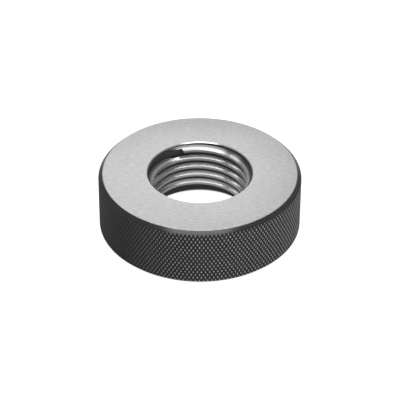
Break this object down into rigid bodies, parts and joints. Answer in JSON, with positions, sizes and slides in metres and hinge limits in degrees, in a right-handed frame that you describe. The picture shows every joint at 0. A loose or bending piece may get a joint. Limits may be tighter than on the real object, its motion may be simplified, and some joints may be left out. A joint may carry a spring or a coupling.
{
  "type": "thread ring gauge",
  "caption": "Thick steel ring with a right-hand metric thread through it, blunt thread starts and bevelled, knurled rim, for checking outside threads by hand",
  "frame": {"origin": "centre of the bottom face, on the thread's axis", "axes": "+Z is the thread's axis and points up; +X has no feature, and the upper thread start stands 117 degrees counter-clockwise from it"},
  "size_m": [0.071, 0.071, 0.022],
  "materials": {
    "gauge_steel": "ground faces and lapped thread; the rim is blackened"
  },
  "bodies": {
    "root": {"ring_gauge": "gauge_steel"}
  },
  "joints": []
}
